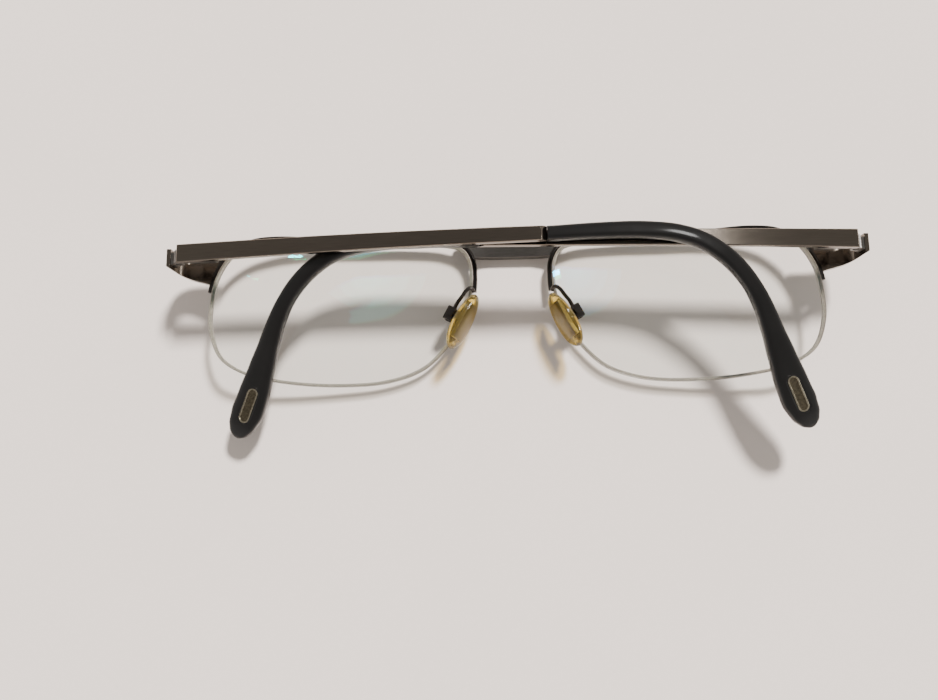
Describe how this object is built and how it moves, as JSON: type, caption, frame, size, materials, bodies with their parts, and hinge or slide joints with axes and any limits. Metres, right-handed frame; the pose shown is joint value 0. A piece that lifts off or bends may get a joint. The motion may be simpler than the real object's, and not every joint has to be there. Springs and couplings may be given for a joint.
{
  "type": "half-rim spectacles",
  "caption": "Half-rim spectacles with clear lenses held by a nylon cord, folding metal temples with curved black tips, and rocking nose pads.",
  "frame": {"origin": "centre of the folded spectacles' bounding box, at the plane the front rests on", "axes": "+X towards the wearer's right along the front, the longest extent; +Y up the lenses as worn; +Z back towards the wearer, the shortest extent when folded"},
  "size_m": [0.1342, 0.0414, 0.0165],
  "materials": {
    "rim_metal": "polished dark plating",
    "temple_metal": "satin, brushed along the length, grey-brown plating",
    "screw_metal": "satin",
    "plaque_metal": "satin antique silver",
    "insert_metal": "satin",
    "lens": "polished and coated, ground at the edge",
    "nylon": "clear and smooth",
    "acetate": "satin polished",
    "silicone": "translucent amber, smooth"
  },
  "bodies": {
    "front": {"bridge": "rim_metal", "right_rim": "rim_metal", "right_endpiece": "rim_metal", "right_hinge_ears": "rim_metal", "right_hinge_screw": "screw_metal", "right_lens": "lens", "right_rim_liner": "nylon", "right_lens_cord": "nylon", "right_pad_arm": "rim_metal", "right_pad_box": "rim_metal", "right_pad_screw": "screw_metal", "left_rim": "rim_metal", "left_endpiece": "rim_metal", "left_hinge_ears": "rim_metal", "left_hinge_screw": "screw_metal", "left_lens": "lens", "left_rim_liner": "nylon", "left_lens_cord": "nylon", "left_pad_arm": "rim_metal", "left_pad_box": "rim_metal", "left_pad_screw": "screw_metal"},
    "right_temple": {"right_hinge_tongue": "temple_metal", "right_temple_bar": "temple_metal", "right_temple_tip": "acetate", "right_tip_core": "screw_metal", "right_tip_plaque": "plaque_metal"},
    "left_temple": {"left_hinge_tongue": "temple_metal", "left_temple_bar": "temple_metal", "left_temple_tip": "acetate", "left_tip_core": "screw_metal", "left_tip_plaque": "plaque_metal"},
    "right_pad": {"right_pad_insert": "insert_metal", "right_nose_pad": "silicone"},
    "left_pad": {"left_pad_insert": "insert_metal", "left_nose_pad": "silicone"}
  },
  "joints": [
    {"name": "right_temple_hinge", "type": "hinge", "parent": "front", "child": "right_temple", "pos_m": [0.0646, 0.01419, 0.0116], "axis": [0, 1, 0], "range_deg": [0, 91.2]},
    {"name": "left_temple_hinge", "type": "hinge", "parent": "front", "child": "left_temple", "pos_m": [-0.0646, 0.01419, 0.0116], "axis": [0, -1, 0], "range_deg": [0, 89]},
    {"name": "right_pad_rock", "type": "hinge", "parent": "front", "child": "right_pad", "pos_m": [0.01204, 0.00325, 0.00532], "axis": [0.2741, 0.1427, 0.9511], "range_deg": [-8, 8]},
    {"name": "left_pad_rock", "type": "hinge", "parent": "front", "child": "left_pad", "pos_m": [-0.01204, 0.00325, 0.00532], "axis": [-0.2741, 0.1427, 0.9511], "range_deg": [-8, 8]}
  ]
}
